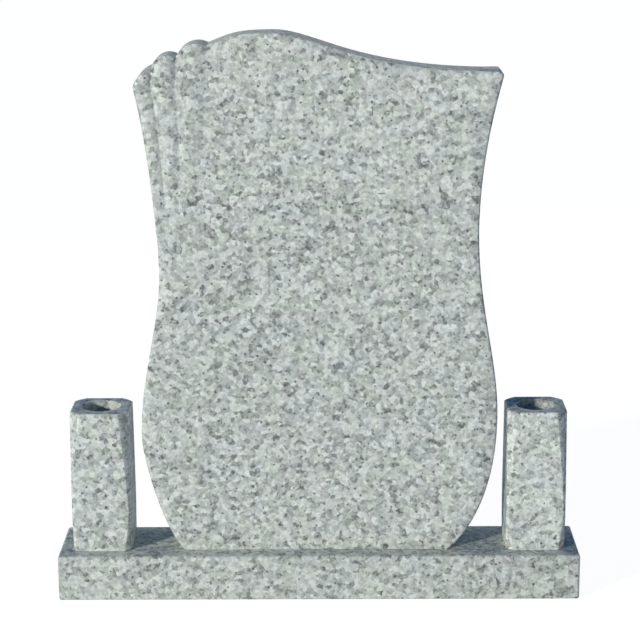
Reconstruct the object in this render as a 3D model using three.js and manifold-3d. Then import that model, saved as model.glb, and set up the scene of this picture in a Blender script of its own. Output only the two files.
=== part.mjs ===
// Upright granite headstone with three carved folds, on a plinth with two flower vases.
// Millimetres, +Z up. The face looks towards -Y. Origin: the middle of the plinth's underside.

import * as THREE from 'three';
import { mergeVertices } from 'three/addons/utils/BufferGeometryUtils.js';
import Module from 'manifold-3d';

// The stones are bedded on each other across this joint.
const BEDDING_JOINT = 0.3;

const COLOURS = { plinth: 0xadb4b2, headstone: 0xafb7b3, vase: 0xb4bab7 };
const POLISH_ROUGHNESS = 0.45;

const PLINTH = {
  depth: 155,
  height: 80,
  endMargin: 24,      // from the plinth's end to the vase's side
  arris: 3,
};

const VASE = {
  side: 102,
  height: 248,
  headstoneGap: 17.5, // from the headstone's belly to the vase's side
  bore: 67,
  boreDepth: 180,
  chamferTop: 18,     // the four upright edges are chamfered, widest at the rim and at the foot
  chamferWaist: 4,
  chamferFoot: 12,
  chamferWaistHeight: 60,
  chamferEase: 1.4,   // over 1, the chamfer widens mostly near the rim
  rimArris: 2,
};

const HEADSTONE = {
  height: 891.3,      // from the foot to the crown
  thickness: 80,
  setback: 34.5,      // from the plinth's front face to the headstone's face
  arris: 5,
};

// One side of the outline: half widths from the centre line, heights above the foot and drops
// below the crown. A reach is the length of a curve's handle at that point.
const LEFT_SIDE = {
  foot: 234,
  footFlare: { x: 35, z: 38 },
  belly: 302.5,
  bellyHeight: 205,
  bellyReachDown: 42,
  bellyReachUp: 106,
  waist: 266.5,
  waistHeight: 488,
  waistReachDown: 84,
  waistReachUp: 90,
  shoulder: 303,
  shoulderDrop: 88.3,
  shoulderLean: { x: 16, z: 62 },
};

const RIGHT_SIDE = {
  foot: 226,
  footFlare: { x: 50, z: 46 },
  belly: 306.5,
  bellyHeight: 240,
  bellyReachDown: 110,
  bellyReachUp: 98,
  waist: 271,
  waistHeight: 560,
  waistReachDown: 130,
  waistReachUp: 95,
  shoulder: 308,
  shoulderDrop: 71.3,
  shoulderLean: { x: 22, z: 84 },
};

// The top swings from the right-hand corner up to the crown and down to the first fold.
const TOP = {
  cornerEase: 1,      // by which the right-hand corner's radius exceeds the arris
  rightReach: 235,
  crownSetOver: 72,   // to the left of the centre line
  crownReachRight: 70,
  crownReachLeft: 60,
  foldLean: { x: 40, z: 16 },
};

// Each fold ends at the top in a round that springs from the valley on its left to the valley on
// its right. The valley's drop is measured from the crown.
const OUTER_FOLD = { topWidth: 31, runOutWidth: 10, valleyDrop: 56.3, bulge: 6 };
const MIDDLE_FOLD = { topWidth: 41, runOutWidth: 12, valleyDrop: 39.8, bulge: 11 };
const INNER_FOLD = { topWidth: 50.5, runOutWidth: 14, valleyDrop: 20.6, bulge: 12 };
const FOLDS = [OUTER_FOLD, MIDDLE_FOLD, INNER_FOLD];

const FOLD_CARVING = {
  depth: 6,           // of the valleys at the top
  crestDrop: 0.6,     // of the folds' crests behind the face
  runOutHeight: 492,
  uprightDrop: 66,    // below the crown; above this the folds stand upright
  crestFade: 0.25,    // share of the climb over which the crests sink to that
  lipWidth: 120,      // from the inner valley up to the face, at the top
  lipRunOutShare: 0.3, // of that width, where the folds run out
  widthEase: 0.8,
  depthEase: 1,
  roundness: 0.84,    // 1 would be a half ellipse
};

// How finely the curves are cut into flats.
const STEPS = {
  side: 9,
  top: 18,
  crown: 8,
  corner: 3,
  fold: 8,
  foldHeights: 22,
  arris: 2,
  vaseFoot: 2,
  vaseShaft: 5,
  bore: 40,
};

// Room that a cutting shape keeps beyond what it cuts.
const CUT_ROOM = 20;

// Points nearer than this are one point.
const MERGE_TOLERANCE = 1e-4;

const wasm = await Module();
wasm.setup();

function toManifold(geometry) {
  const bare = geometry.clone();
  bare.deleteAttribute('normal');
  bare.deleteAttribute('uv');
  const merged = mergeVertices(bare, MERGE_TOLERANCE);
  return new wasm.Manifold(new wasm.Mesh({
    numProp: 3,
    vertProperties: new Float32Array(merged.attributes.position.array),
    triVerts: new Uint32Array(merged.index.array),
  }));
}

function toGeometry(solid) {
  const mesh = solid.getMesh();
  const geometry = new THREE.BufferGeometry();
  geometry.setAttribute('position', new THREE.BufferAttribute(new Float32Array(mesh.vertProperties), 3));
  geometry.setIndex(new THREE.BufferAttribute(new Uint32Array(mesh.triVerts), 1));
  geometry.computeVertexNormals();
  return geometry;
}

// A closed skin over rings that all have the same number of points, counter-clockwise from above,
// from the lowest ring to the highest.
function skinRings(rings) {
  const count = rings[0].length;
  const positions = rings.flat().flatMap((point) => [point.x, point.y, point.z]);
  const index = [];
  for (let ring = 0; ring + 1 < rings.length; ring += 1) {
    for (let i = 0; i < count; i += 1) {
      const a = ring * count + i;
      const b = ring * count + ((i + 1) % count);
      index.push(a, b, b + count, a, b + count, a + count);
    }
  }
  const capOf = (ring) => THREE.ShapeUtils.triangulateShape(
    rings[ring].map((point) => new THREE.Vector2(point.x, point.y)),
    [],
  );
  const last = rings.length - 1;
  for (const [a, b, c] of capOf(0)) index.push(c, b, a);
  for (const [a, b, c] of capOf(last)) index.push(a + last * count, b + last * count, c + last * count);
  const geometry = new THREE.BufferGeometry();
  geometry.setAttribute('position', new THREE.Float32BufferAttribute(positions, 3));
  geometry.setIndex(index);
  return geometry;
}

const WIDEST_BELLY = Math.max(LEFT_SIDE.belly, RIGHT_SIDE.belly);
const VASE_REACH = WIDEST_BELLY + VASE.headstoneGap + VASE.side / 2;
const PLINTH_WIDTH = 2 * (VASE_REACH + VASE.side / 2 + PLINTH.endMargin);

// Plinth: a slab with a small arris on every edge.
function plinthGeometry() {
  const { depth, height, arris } = PLINTH;
  const ring = (inset, z) => {
    const x = PLINTH_WIDTH / 2 - inset;
    const y = depth / 2 - inset;
    return [
      [-x + arris, -y], [x - arris, -y], [x, -y + arris], [x, y - arris],
      [x - arris, y], [-x + arris, y], [-x, y - arris], [-x, -y + arris],
    ].map(([px, py]) => new THREE.Vector3(px, py, z));
  };
  return skinRings([ring(arris, 0), ring(0, arris), ring(0, height - arris), ring(arris, height)]);
}

// The vase's corner chamfer at a height: it narrows from the rim and from the foot to its waist.
function vaseChamferAt(height, shaftTop) {
  const { chamferTop, chamferWaist, chamferFoot, chamferWaistHeight, chamferEase } = VASE;
  if (height < chamferWaistHeight) {
    return THREE.MathUtils.mapLinear(height, 0, chamferWaistHeight, chamferFoot, chamferWaist);
  }
  const t = (height - chamferWaistHeight) / (shaftTop - chamferWaistHeight);
  return THREE.MathUtils.lerp(chamferWaist, chamferTop, t ** chamferEase);
}

// Vase: a square block with a round bore and chamfered corners.
function vaseGeometry() {
  const { side, height, bore, boreDepth, chamferTop, chamferWaistHeight, rimArris } = VASE;
  const ring = (chamfer, inset, z) => {
    const h = side / 2 - inset;
    const c = h - chamfer;
    return [
      [-c, -h], [c, -h], [h, -c], [h, c], [c, h], [-c, h], [-h, c], [-h, -c],
    ].map(([px, py]) => new THREE.Vector3(px, py, z));
  };
  const shaftTop = height - rimArris;
  const levels = [];
  for (let i = 0; i < STEPS.vaseFoot; i += 1) levels.push((chamferWaistHeight * i) / STEPS.vaseFoot);
  for (let i = 0; i <= STEPS.vaseShaft; i += 1) {
    levels.push(THREE.MathUtils.lerp(chamferWaistHeight, shaftTop, i / STEPS.vaseShaft));
  }
  const rings = levels.map((level) => ring(vaseChamferAt(level, shaftTop), 0, level));
  rings.push(ring(chamferTop, rimArris, height));
  const drill = new THREE.CylinderGeometry(bore / 2, bore / 2, boreDepth + CUT_ROOM, STEPS.bore);
  drill.rotateX(Math.PI / 2);
  drill.translate(0, 0, height - boreDepth + (boreDepth + CUT_ROOM) / 2);
  return toGeometry(toManifold(skinRings(rings)).subtract(toManifold(drill)));
}

// One side of the headstone, from the foot up to the shoulder, for x = half width.
function sidePoints(side) {
  const point = (x, z) => new THREE.Vector2(x, z);
  const shoulderHeight = HEADSTONE.height - side.shoulderDrop;
  const foot = point(side.foot, 0);
  const belly = point(side.belly, side.bellyHeight);
  const waist = point(side.waist, side.waistHeight);
  const spans = [
    [
      foot,
      point(side.foot + side.footFlare.x, side.footFlare.z),
      point(side.belly, side.bellyHeight - side.bellyReachDown),
      belly,
    ],
    [
      belly,
      point(side.belly, side.bellyHeight + side.bellyReachUp),
      point(side.waist, side.waistHeight - side.waistReachDown),
      waist,
    ],
    [
      waist,
      point(side.waist, side.waistHeight + side.waistReachUp),
      point(side.shoulder - side.shoulderLean.x, shoulderHeight - side.shoulderLean.z),
      point(side.shoulder, shoulderHeight),
    ],
  ];
  const points = [foot];
  for (const span of spans) {
    points.push(...new THREE.CubicBezierCurve(...span).getPoints(STEPS.side).slice(1));
  }
  return points;
}

// An arc from one point to another that stands off their chord by bulge, to the right of the way.
function bulgedArc(from, to, bulge, steps) {
  const chord = to.clone().sub(from);
  const half = chord.length() / 2;
  const radius = (half * half + bulge * bulge) / (2 * bulge);
  const outward = new THREE.Vector2(chord.y, -chord.x).normalize();
  const centre = from.clone().add(to).multiplyScalar(0.5).addScaledVector(outward, bulge - radius);
  const start = from.clone().sub(centre).angle();
  const sweep = 2 * Math.asin(half / radius);
  const points = [];
  for (let i = 1; i <= steps; i += 1) {
    const angle = start + (sweep * i) / steps;
    points.push(new THREE.Vector2(centre.x + radius * Math.cos(angle), centre.y + radius * Math.sin(angle)));
  }
  return points;
}

// The valleys at the top, from the outer edge inwards; the first is the left-hand shoulder.
function foldSprings() {
  let x = -LEFT_SIDE.shoulder;
  const springs = [new THREE.Vector2(x, HEADSTONE.height - LEFT_SIDE.shoulderDrop)];
  for (const fold of FOLDS) {
    x += fold.topWidth;
    springs.push(new THREE.Vector2(x, HEADSTONE.height - fold.valleyDrop));
  }
  return springs;
}

// The headstone's outline, counter-clockwise seen from the front, from below the foot's left end.
function headstoneOutline() {
  const right = sidePoints(RIGHT_SIDE);
  const left = sidePoints(LEFT_SIDE).map((point) => new THREE.Vector2(-point.x, point.y));
  const cornerRadius = HEADSTONE.arris + TOP.cornerEase;
  const shoulder = right.at(-1);
  const cornerEnd = new THREE.Vector2(shoulder.x - cornerRadius, shoulder.y + cornerRadius);
  const corner = bulgedArc(shoulder, cornerEnd, cornerRadius * (1 - Math.SQRT1_2), STEPS.corner);
  const crown = new THREE.Vector2(-TOP.crownSetOver, HEADSTONE.height);
  const springs = foldSprings();
  const innerValley = springs.at(-1);
  const sweepUp = new THREE.CubicBezierCurve(
    cornerEnd,
    new THREE.Vector2(cornerEnd.x - TOP.rightReach, cornerEnd.y),
    new THREE.Vector2(crown.x + TOP.crownReachRight, crown.y),
    crown,
  );
  const sweepDown = new THREE.CubicBezierCurve(
    crown,
    new THREE.Vector2(crown.x - TOP.crownReachLeft, crown.y),
    new THREE.Vector2(innerValley.x + TOP.foldLean.x, innerValley.y + TOP.foldLean.z),
    innerValley,
  );
  const rounds = [];
  for (let i = FOLDS.length - 1; i >= 0; i -= 1) {
    rounds.push(...bulgedArc(springs[i + 1], springs[i], FOLDS[i].bulge, STEPS.fold));
  }
  return [
    new THREE.Vector2(left[0].x, -CUT_ROOM),
    new THREE.Vector2(right[0].x, -CUT_ROOM),
    ...right,
    ...corner,
    ...sweepUp.getPoints(STEPS.top).slice(1),
    ...sweepDown.getPoints(STEPS.crown).slice(1),
    ...rounds,
    ...left.slice(0, -1).reverse(),
  ];
}

// The x of the left-hand edge at a height; above the shoulder it stands upright.
function leftEdgeAt(height) {
  const points = sidePoints(LEFT_SIDE);
  const above = points.findIndex((point) => point.y > height);
  if (above < 0) return -LEFT_SIDE.shoulder;
  const a = points[above - 1];
  const b = points[above];
  return -THREE.MathUtils.mapLinear(height, a.y, b.y, a.x, b.x);
}

// The carved folds at a height: x and the depth behind the face, from the left-hand edge inwards.
function foldSection(height) {
  const { runOutHeight, uprightDrop, widthEase, depthEase, depth, roundness } = FOLD_CARVING;
  const { crestDrop, crestFade, lipWidth, lipRunOutShare } = FOLD_CARVING;
  const climb = (height - runOutHeight) / (HEADSTONE.height - uprightDrop - runOutHeight);
  const t = THREE.MathUtils.clamp(climb, 0, 1);
  const valleyDepth = depth * t ** depthEase;
  const crestDepth = crestDrop * Math.min(1, t / crestFade);
  const section = [];
  let x = leftEdgeAt(height);
  for (const fold of FOLDS) {
    const width = THREE.MathUtils.lerp(fold.runOutWidth, fold.topWidth, t ** widthEase);
    const first = section.length === 0 ? 0 : 1;
    for (let i = first; i <= STEPS.fold; i += 1) {
      const s = (2 * i) / STEPS.fold - 1;
      const fall = (1 - Math.sqrt(1 - (roundness * s) ** 2)) / (1 - Math.sqrt(1 - roundness ** 2));
      section.push([x + (width * i) / STEPS.fold, crestDepth + (valleyDepth - crestDepth) * fall]);
    }
    x += width;
  }
  const lip = lipWidth * THREE.MathUtils.lerp(lipRunOutShare, 1, t);
  section.push([x + lip, -crestDrop]);
  return section;
}

// The stone that is carved away between the folds, in front of their surface. The face is at y = 0.
function foldWaste() {
  const { runOutHeight } = FOLD_CARVING;
  const rings = [];
  for (let i = 0; i <= STEPS.foldHeights; i += 1) {
    const height = THREE.MathUtils.lerp(runOutHeight, HEADSTONE.height + CUT_ROOM, i / STEPS.foldHeights);
    const section = foldSection(height);
    const carved = section.map(([x, depth]) => new THREE.Vector3(x, depth, height)).reverse();
    const outer = carved.at(-1);
    const inner = carved[0];
    rings.push([
      ...carved,
      new THREE.Vector3(outer.x - CUT_ROOM, outer.y, height),
      new THREE.Vector3(outer.x - CUT_ROOM, -CUT_ROOM, height),
      new THREE.Vector3(inner.x, -CUT_ROOM, height),
    ]);
  }
  return skinRings(rings);
}

function headstoneGeometry() {
  const { thickness, arris } = HEADSTONE;
  const slab = new THREE.ExtrudeGeometry(new THREE.Shape(headstoneOutline()), {
    depth: thickness - 2 * arris,
    steps: 1,
    bevelThickness: arris,
    bevelSize: arris,
    bevelOffset: -arris,
    bevelSegments: STEPS.arris,
  });
  slab.rotateX(Math.PI / 2);
  slab.translate(0, thickness - arris, 0);
  const ground = new THREE.BoxGeometry(PLINTH_WIDTH, PLINTH_WIDTH, CUT_ROOM * 2);
  ground.translate(0, 0, -CUT_ROOM);
  return toGeometry(toManifold(slab).subtract(toManifold(ground)).subtract(toManifold(foldWaste())));
}

function stone(name, geometry, color) {
  const roughness = POLISH_ROUGHNESS;
  const material = new THREE.MeshStandardMaterial({ color, roughness, metalness: 0, flatShading: true });
  const mesh = new THREE.Mesh(geometry, material);
  mesh.name = name;
  return mesh;
}

const memorial = new THREE.Group();
const plinthFront = -PLINTH.depth / 2;
const seat = PLINTH.height + BEDDING_JOINT;

memorial.add(stone('plinth', plinthGeometry(), COLOURS.plinth));

const headstone = stone('headstone', headstoneGeometry(), COLOURS.headstone);
headstone.position.set(0, plinthFront + HEADSTONE.setback, seat);
memorial.add(headstone);

for (const [name, end] of [['vase_left', -1], ['vase_right', 1]]) {
  const vase = stone(name, vaseGeometry(), COLOURS.vase);
  vase.position.set(end * VASE_REACH, 0, seat);
  memorial.add(vase);
}

export default memorial;
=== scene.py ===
"""An upright granite headstone with three carved folds, on a plinth with two flower vases.

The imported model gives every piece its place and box. This script builds the polished surfaces
around it: the headstone's carved face and soft arrises, the plinth's slab, the bored vases with
their tapering chamfers, and the speckled granite of all four. Lengths are in metres.
"""

import logging
import math
from dataclasses import dataclass, field
from enum import Enum

import bmesh
import bpy
import numpy as np
from mathutils import Matrix, Vector
from mathutils.geometry import delaunay_2d_cdt

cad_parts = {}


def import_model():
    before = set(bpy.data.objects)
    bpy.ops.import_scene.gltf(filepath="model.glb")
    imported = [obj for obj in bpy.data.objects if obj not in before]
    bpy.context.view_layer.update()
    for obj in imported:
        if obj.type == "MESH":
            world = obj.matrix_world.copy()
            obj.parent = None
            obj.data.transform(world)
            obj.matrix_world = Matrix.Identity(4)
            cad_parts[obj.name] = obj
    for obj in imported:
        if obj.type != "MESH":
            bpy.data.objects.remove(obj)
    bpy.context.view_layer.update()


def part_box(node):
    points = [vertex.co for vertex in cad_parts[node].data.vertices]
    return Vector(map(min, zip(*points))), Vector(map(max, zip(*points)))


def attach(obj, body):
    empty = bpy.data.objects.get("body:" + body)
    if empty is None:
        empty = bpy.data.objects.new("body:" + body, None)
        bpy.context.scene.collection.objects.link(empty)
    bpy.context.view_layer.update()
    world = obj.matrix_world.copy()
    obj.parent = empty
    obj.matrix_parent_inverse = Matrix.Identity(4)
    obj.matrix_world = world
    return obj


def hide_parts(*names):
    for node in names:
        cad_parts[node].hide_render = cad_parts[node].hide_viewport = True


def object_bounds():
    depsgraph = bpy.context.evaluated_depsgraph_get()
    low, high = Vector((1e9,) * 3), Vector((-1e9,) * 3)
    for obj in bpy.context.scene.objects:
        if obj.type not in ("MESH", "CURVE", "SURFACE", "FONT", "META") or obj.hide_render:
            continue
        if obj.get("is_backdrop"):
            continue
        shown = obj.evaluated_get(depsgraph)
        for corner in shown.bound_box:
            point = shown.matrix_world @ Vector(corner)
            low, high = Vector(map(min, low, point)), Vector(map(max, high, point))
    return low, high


log = logging.getLogger("headstone")

MM = 0.001
BODY = "root"

# Edges that turn by more than this stay sharp in the shading.
CREASE = math.radians(32)

# Points of an outline that turn by more than this are kinks.
KINK = math.radians(12)

# Corners of a finished mesh that are nearer than this are one corner.
SAME_CORNER = 0.001 * MM

# What a noise texture averages.
NOISE_MIDDLE = 0.5

WHITE = (1.0, 1.0, 1.0, 1.0)


class Surface(Enum):
    """How a face of the stone was finished."""

    POLISHED = "polished"
    SAWN = "sawn"
    DRILLED = "drilled"


class Block(Enum):
    """The rough block that a stone was cut from: its place in the granite's pattern, in metres."""

    HEADSTONE = (0.0, 0.0, 0.0)
    PLINTH = (3.1, 1.7, 2.3)
    VASES = (5.3, 4.1, 0.9)


class End(Enum):
    """The end of the plinth that a vase stands at."""

    LEFT = "vase_left"
    RIGHT = "vase_right"


def spaced(name: str) -> str:
    """Returns a keyword as a socket's name, with spaces for its underscores."""
    return name.replace("_", " ")


class Graph:
    """A node tree, with short calls for placing and joining its nodes."""

    # The numbers of a Mix node's two values and of its result, by the kind of data.
    MIX_SOCKETS = {"RGBA": (6, 7, 2), "VECTOR": (4, 5, 1)}

    def __init__(self, tree: bpy.types.NodeTree) -> None:
        """Wraps a tree.

        Args:
            tree: The node tree to build in.
        """
        self.tree = tree

    @classmethod
    def group(cls, name: str, kind: str = "ShaderNodeTree") -> "Graph":
        """Starts a node group of its own.

        Args:
            name: The group's name.
            kind: The type of tree.

        Returns:
            The graph of the new group.
        """
        return cls(bpy.data.node_groups.new(name, kind))

    def entrance(self, **sockets: str) -> dict[str, bpy.types.NodeSocket]:
        """Args:
            **sockets: The socket type of each input. An underscore in a name stands for a space.

        Returns:
            The sockets inside the group, by the same names.
        """
        for name, kind in sockets.items():
            self.tree.interface.new_socket(spaced(name), in_out="INPUT", socket_type=f"NodeSocket{kind}")
        first = self.tree.nodes.new("NodeGroupInput")
        return {name: first.outputs[spaced(name)] for name in sockets}

    def exit(self, **values: bpy.types.NodeSocket) -> None:
        """Args:
            **values: For each output, the socket that feeds it.
        """
        kinds = {"VALUE": "Float", "RGBA": "Color", "VECTOR": "Vector", "GEOMETRY": "Geometry"}
        for name, value in values.items():
            kind = f"NodeSocket{kinds[value.type]}"
            self.tree.interface.new_socket(spaced(name), in_out="OUTPUT", socket_type=kind)
        last = self.tree.nodes.new("NodeGroupOutput")
        for name, value in values.items():
            self.tree.links.new(value, last.inputs[spaced(name)])

    def feed(self, socket: bpy.types.NodeSocket, value: object) -> None:
        """Links a socket to another one, or sets its own value.

        Args:
            socket: The input socket.
            value: A socket to link, or a plain value.
        """
        if isinstance(value, bpy.types.NodeSocket):
            self.tree.links.new(value, socket)
        else:
            socket.default_value = value

    def node(self, kind: str, inputs: dict | None = None, **settings: object) -> bpy.types.Node:
        """Adds a node.

        Args:
            kind: The node's type name.
            inputs: Values or sockets for its inputs, by name or number.
            **settings: The node's own properties.

        Returns:
            The new node.
        """
        made = self.tree.nodes.new(kind)
        for name, value in settings.items():
            setattr(made, name, value)
        for key, value in (inputs or {}).items():
            self.feed(made.inputs[key], value)
        return made

    def math(self, operation: str, *values: object, clamp: bool = False) -> bpy.types.NodeSocket:
        """Adds a Math node.

        Args:
            operation: The node's operation.
            *values: Its operands, sockets or numbers.
            clamp: Whether the result is held between 0 and 1.

        Returns:
            The result's socket.
        """
        made = self.node("ShaderNodeMath", dict(enumerate(values)), operation=operation)
        made.use_clamp = clamp
        return made.outputs[0]

    def blend(self, share: object, low: object, high: object) -> bpy.types.NodeSocket:
        """Goes from low to high as share goes from 0 to 1, and returns the value's socket."""
        span = self.math("SUBTRACT", high, low)
        return self.math("MULTIPLY_ADD", span, share, low)

    def mix(
        self, kind: str, share: object, low: object, high: object, **settings: object
    ) -> bpy.types.NodeSocket:
        """Adds a Mix node.

        Args:
            kind: RGBA for colours or VECTOR for places.
            share: How far the result goes from low to high.
            low: The colour or place at 0.
            high: The colour or place at 1.
            **settings: The node's other properties.

        Returns:
            The result's socket.
        """
        first, second, result = self.MIX_SOCKETS[kind]
        inputs = {0: share, first: low, second: high}
        return self.node("ShaderNodeMix", inputs, data_type=kind, **settings).outputs[result]

    def noise(self, place: bpy.types.NodeSocket, size: float, detail: float = 3.0) -> bpy.types.Node:
        """Adds a soft noise of a size in metres and returns its node."""
        inputs = {"Vector": place, "Scale": 1 / size, "Detail": detail}
        return self.node("ShaderNodeTexNoise", inputs)

    def ramp(self, value: bpy.types.NodeSocket, stops: tuple, colours: tuple) -> bpy.types.NodeSocket:
        """Turns a value into a colour.

        Args:
            value: The value's socket.
            stops: The values at which the colours stand, rising.
            colours: The colours, as linear red, green and blue.

        Returns:
            The colour's socket.
        """
        made = self.node("ShaderNodeValToRGB", {0: value})
        elements = made.color_ramp.elements
        while len(elements) < len(stops):
            elements.new(1.0)
        for element, position, colour in zip(elements, stops, colours):
            element.position = position
            element.color = (*colour, 1.0)
        return made.outputs[0]

    def axes(self, vector: bpy.types.NodeSocket) -> tuple[bpy.types.NodeSocket, ...]:
        """Splits a vector and returns the sockets of its x, y and z."""
        return tuple(self.node("ShaderNodeSeparateXYZ", {0: vector}).outputs)

    def placed(self, group: "Graph", **values: object) -> bpy.types.Node:
        """Places a group in this tree.

        Args:
            group: The group's graph.
            **values: Its inputs, by name, with underscores for spaces.

        Returns:
            The group's node.
        """
        made = self.tree.nodes.new(self.tree.bl_idname.replace("NodeTree", "NodeGroup"))
        made.node_tree = group.tree
        for name, value in values.items():
            self.feed(made.inputs[spaced(name)], value)
        return made


@dataclass(frozen=True)
class Minerals:
    """The grains that the granite is made of: colours as linear albedo, sizes in metres.

    A share weighs what a pattern adds to the grain value that picks the mineral.
    """

    mica: tuple[float, float, float] = (0.125, 0.13, 0.125)
    quartz: tuple[float, float, float] = (0.385, 0.40, 0.38)
    feldspar: tuple[float, float, float] = (0.54, 0.56, 0.525)
    pale_feldspar: tuple[float, float, float] = (0.785, 0.80, 0.76)
    ramp_stops: tuple[float, float, float, float] = (0.24, 0.42, 0.60, 0.92)
    green_tint: tuple[float, float, float] = (0.985, 1.034, 0.948)
    lilac_tint: tuple[float, float, float] = (1.01, 1.008, 0.98)
    blue_tint: tuple[float, float, float] = (0.982, 1.022, 1.0)
    tint_stops: tuple[float, float, float] = (0.40, 0.50, 0.60)
    tint_patch: float = 0.035
    grain: float = 0.0082
    grain_share: float = 0.44
    fleck: float = 0.0045
    fleck_share: float = 0.28
    cloud: float = 0.0165
    cloud_share: float = 0.28
    dust: float = 0.0026
    dust_share: float = 0.20
    warp: float = 0.0045
    warp_detail: float = 5.0
    speck: float = 0.016
    speck_reach: float = 0.16
    speck_odds: float = 0.45
    mica_steepness: float = 2.5

    def group(self) -> Graph:
        """Builds the pattern as a shader node group.

        Returns:
            The group, with Vector and Lightness inputs, and Color, Mica and Height outputs.
        """
        g = Graph.group("Granite grains")
        sockets = g.entrance(Vector="Vector", Lightness="Float")
        place = sockets["Vector"]
        warped = self.warped(g, place)
        mixed: object = 0.0
        for size, share in ((self.grain, self.grain_share), (self.fleck, self.fleck_share)):
            cells = g.node("ShaderNodeTexVoronoi", {"Vector": warped, "Scale": 1 / size})
            value = g.node("ShaderNodeSeparateColor", {0: cells.outputs["Color"]}).outputs[0]
            mixed = g.math("MULTIPLY_ADD", value, share, mixed)
        for size, share in ((self.cloud, self.cloud_share), (self.dust, self.dust_share)):
            mixed = g.math("MULTIPLY_ADD", g.noise(place, size).outputs["Fac"], share, mixed)
        value = g.math("SUBTRACT", mixed, self.specks(g, warped))
        minerals = (self.mica, self.quartz, self.feldspar, self.pale_feldspar)
        stone = g.ramp(value, self.ramp_stops, minerals)
        tints = (self.green_tint, self.lilac_tint, self.blue_tint)
        tint = g.ramp(g.noise(place, self.tint_patch).outputs["Fac"], self.tint_stops, tints)
        tinted = g.mix("RGBA", 1.0, stone, tint, blend_type="MULTIPLY")
        lit = g.node("ShaderNodeHueSaturation", {"Color": tinted, "Value": sockets["Lightness"]})
        mica = g.math("SUBTRACT", 1.0, g.math("MULTIPLY", value, self.mica_steepness), clamp=True)
        g.exit(Color=lit.outputs[0], Mica=mica, Height=mixed)
        return g

    def warped(self, g: Graph, place: bpy.types.NodeSocket) -> bpy.types.NodeSocket:
        """Bends the pattern's place, so that the grains have no straight edges.

        Args:
            g: The graph.
            place: The socket of the place.

        Returns:
            The socket of the bent place.
        """
        bend = g.noise(place, self.grain, self.warp_detail).outputs["Color"]
        centred = g.node("ShaderNodeVectorMath", {0: bend, 1: (NOISE_MIDDLE,) * 3}, operation="SUBTRACT")
        push = {0: centred.outputs[0], 1: (self.warp,) * 3, 2: place}
        return g.node("ShaderNodeVectorMath", push, operation="MULTIPLY_ADD").outputs[0]

    def specks(self, g: Graph, warped: bpy.types.NodeSocket) -> bpy.types.NodeSocket:
        """Scatters rare dark flakes of mica.

        Args:
            g: The graph.
            warped: The socket of the bent place.

        Returns:
            The socket of the specks' mask.
        """
        cells = g.node("ShaderNodeTexVoronoi", {"Vector": warped, "Scale": 1 / self.speck})
        chance = g.node("ShaderNodeSeparateColor", {0: cells.outputs["Color"]}).outputs[1]
        away = g.math("DIVIDE", cells.outputs["Distance"], self.speck_reach)
        near = g.math("SUBTRACT", 1.0, away, clamp=True)
        return g.math("MULTIPLY", near, g.math("LESS_THAN", chance, self.speck_odds))


@dataclass(frozen=True)
class ToolMarks:
    """The marks that a saw or a core drill leaves: shallow grooves, evenly spaced and a bit wavy."""

    spacing: float = 0.0251327
    waviness: float = 1.5
    wave_detail: float = 2.0

    # A wave texture of scale 1 runs through this many radians in a metre.
    WAVE_RADIANS = 20

    def group(self) -> Graph:
        """Builds the marks as a shader node group.

        Returns:
            The group, with Vector and Grain inputs, and a Height output.
        """
        g = Graph.group("Tool marks")
        sockets = g.entrance(Vector="Vector", Grain="Float")
        wave = g.node(
            "ShaderNodeTexWave",
            {
                "Vector": sockets["Vector"],
                "Scale": math.tau / (self.WAVE_RADIANS * self.spacing),
                "Distortion": self.waviness,
                "Detail": self.wave_detail,
            },
            bands_direction="Z",
        )
        g.exit(Height=g.math("ADD", wave.outputs["Fac"], sockets["Grain"]))
        return g


@dataclass(frozen=True)
class Granite:
    """One finish of the granite, on one stone."""

    name: str
    surface: Surface
    block: Block
    lightness: float

    # For each surface, the roughness of its pale grains and of its mica, and the height of its relief.
    ROUGHNESS = {Surface.POLISHED: (0.24, 0.40), Surface.SAWN: (0.80, 0.90), Surface.DRILLED: (0.60, 0.75)}
    RELIEF = {Surface.POLISHED: 0.03 * MM, Surface.SAWN: 0.6 * MM, Surface.DRILLED: 0.4 * MM}
    IOR = 1.52

    def material(self, grains: Graph, marks: Graph) -> bpy.types.Material:
        """Builds the material.

        Args:
            grains: The group of the mineral grains.
            marks: The group of the tool marks.

        Returns:
            The material, its pattern laid by the object's own coordinates.
        """
        made = bpy.data.materials.new(self.name)
        made.use_nodes = True
        made.node_tree.nodes.clear()
        g = Graph(made.node_tree)
        place = g.node("ShaderNodeTexCoord").outputs["Object"]
        laid = g.node("ShaderNodeMapping", {"Vector": place, "Location": self.block.value}).outputs[0]
        stone = g.placed(grains, Vector=laid, Lightness=self.lightness)
        roughness = g.blend(stone.outputs["Mica"], *self.ROUGHNESS[self.surface])
        height = stone.outputs["Height"]
        if self.surface is not Surface.POLISHED:
            height = g.placed(marks, Vector=place, Grain=height).outputs[0]
        bump = g.node(
            "ShaderNodeBump", {"Height": height, "Distance": self.RELIEF[self.surface], "Strength": 1.0}
        )
        shader = g.node(
            "ShaderNodeBsdfPrincipled",
            {
                "Base Color": stone.outputs["Color"],
                "Roughness": roughness,
                "Normal": bump.outputs[0],
                "IOR": self.IOR,
            },
        )
        g.node("ShaderNodeOutputMaterial", {"Surface": shader.outputs[0]})
        return made


def finished(obj: bpy.types.Object, slot: str, *nodes: str) -> bpy.types.Object:
    """Hands a piece to the frame.

    Args:
        obj: The piece, its modifiers applied.
        slot: Not used.
        *nodes: The CAD nodes that it stands for.

    Returns:
        The same piece.
    """
    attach(obj, BODY)
    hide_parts(*nodes)
    triangles = sum(len(face.vertices) - 2 for face in obj.data.polygons)
    log.info("%s: %d triangles", obj.name, triangles)
    return obj


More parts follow.
